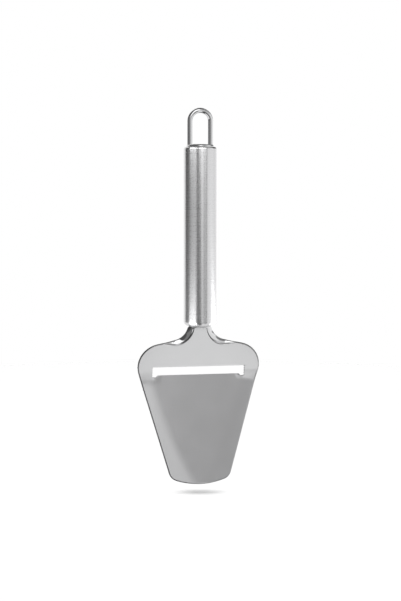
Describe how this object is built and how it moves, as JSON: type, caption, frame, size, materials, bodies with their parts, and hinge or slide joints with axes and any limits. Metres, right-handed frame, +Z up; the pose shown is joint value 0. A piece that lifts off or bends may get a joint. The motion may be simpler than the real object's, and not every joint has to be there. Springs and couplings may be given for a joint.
{
  "type": "cheese slicer",
  "caption": "Cheese slicer with a pressed steel trowel blade, a cutting slot across it, a hollow round handle and a wire hanging loop.",
  "frame": {"origin": "inner top of the hanging loop, where a hook bears", "axes": "+Z up along the handle's axis as it hangs, -Y out of the face that a slice slides over, X across the blade"},
  "size_m": [0.0722, 0.019, 0.2182],
  "materials": {
    "brushed_sheet": "fine satin on the faces, polished on the flanges of the neck",
    "satin_tube": "satin, brushed round the tube",
    "turned_disc": "smooth, turned in rings",
    "polished_wire": "polished",
    "weld_metal": "dull, as welded"
  },
  "bodies": {
    "root": {"blade": "brushed_sheet", "front_disc": "turned_disc", "tang_weld": "weld_metal", "handle_tube": "satin_tube", "rear_disc": "turned_disc", "hanging_loop": "polished_wire", "loop_weld_left": "weld_metal", "loop_weld_right": "weld_metal"}
  },
  "joints": []
}
